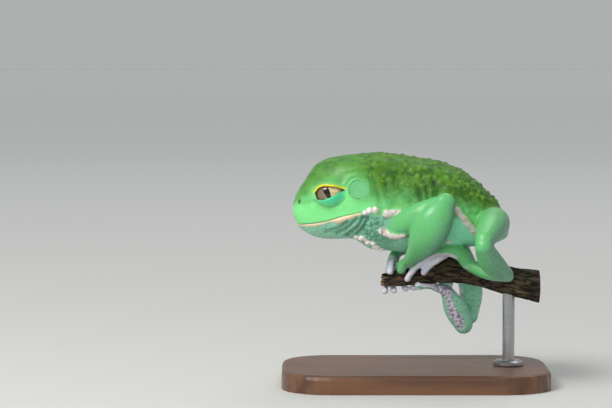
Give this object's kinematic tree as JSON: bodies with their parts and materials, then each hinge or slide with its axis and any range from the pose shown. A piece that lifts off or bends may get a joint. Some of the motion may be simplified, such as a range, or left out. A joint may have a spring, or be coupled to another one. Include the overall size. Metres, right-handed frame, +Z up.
{
  "type": "model of a waxy monkey tree frog on a branch",
  "caption": "Life-size still model of a waxy monkey tree frog gripping a short cut branch, held by a rod on a small wooden base.",
  "frame": {"origin": "centre of the underside of the stand's base", "axes": "+Z up, the frog's snout points towards -X, its left side faces -Y"},
  "size_m": [0.088, 0.0629, 0.0769],
  "materials": {
    "back_skin": "satin, waxy",
    "side_skin": "satin, waxy",
    "belly_skin": "granular",
    "eye": "polished",
    "bark": "rough bark",
    "base_wood": "satin varnish",
    "rod_steel": "brushed"
  },
  "bodies": {
    "root": {"head": "side_skin", "lower_jaw": "belly_skin", "torso": "back_skin", "eye_left": "eye", "eye_right": "eye", "ear_left": "side_skin", "ear_right": "side_skin", "thigh_left": "back_skin", "thigh_right": "back_skin", "shank_left": "back_skin", "shank_right": "back_skin", "tarsus_left": "back_skin", "tarsus_right": "belly_skin", "upper_arm_left": "side_skin", "upper_arm_right": "side_skin", "forearm_left": "side_skin", "forearm_right": "side_skin", "foot_left": "side_skin", "foot_right": "belly_skin", "hand_left": "side_skin", "hand_right": "side_skin", "perch_branch": "bark", "stand_base": "base_wood", "stand_rod": "rod_steel"}
  },
  "joints": []
}
